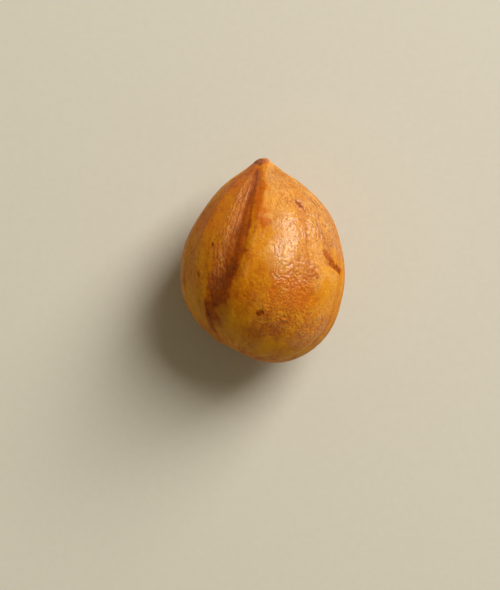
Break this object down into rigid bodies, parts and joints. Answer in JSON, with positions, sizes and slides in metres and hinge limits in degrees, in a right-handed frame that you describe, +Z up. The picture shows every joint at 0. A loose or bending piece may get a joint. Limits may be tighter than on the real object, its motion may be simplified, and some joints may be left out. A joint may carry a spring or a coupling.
{
  "type": "hazelnut kernel",
  "caption": "Shelled, roasted hazelnut kernel lying on its side, pointed at one end, with long furrows from tip to base and a wrinkled amber skin.",
  "frame": {"origin": "on the surface the kernel rests on, under the middle of its bounding box", "axes": "+Y from the round base to the pointed tip, +Z up as it lies on its flat spot, +X to the right with the tip pointing away"},
  "size_m": [0.014, 0.0176, 0.0131],
  "materials": {
    "roasted_skin": "oily satin, amber to toasted brown"
  },
  "bodies": {
    "root": {"hazelnut_kernel": "roasted_skin"}
  },
  "joints": []
}
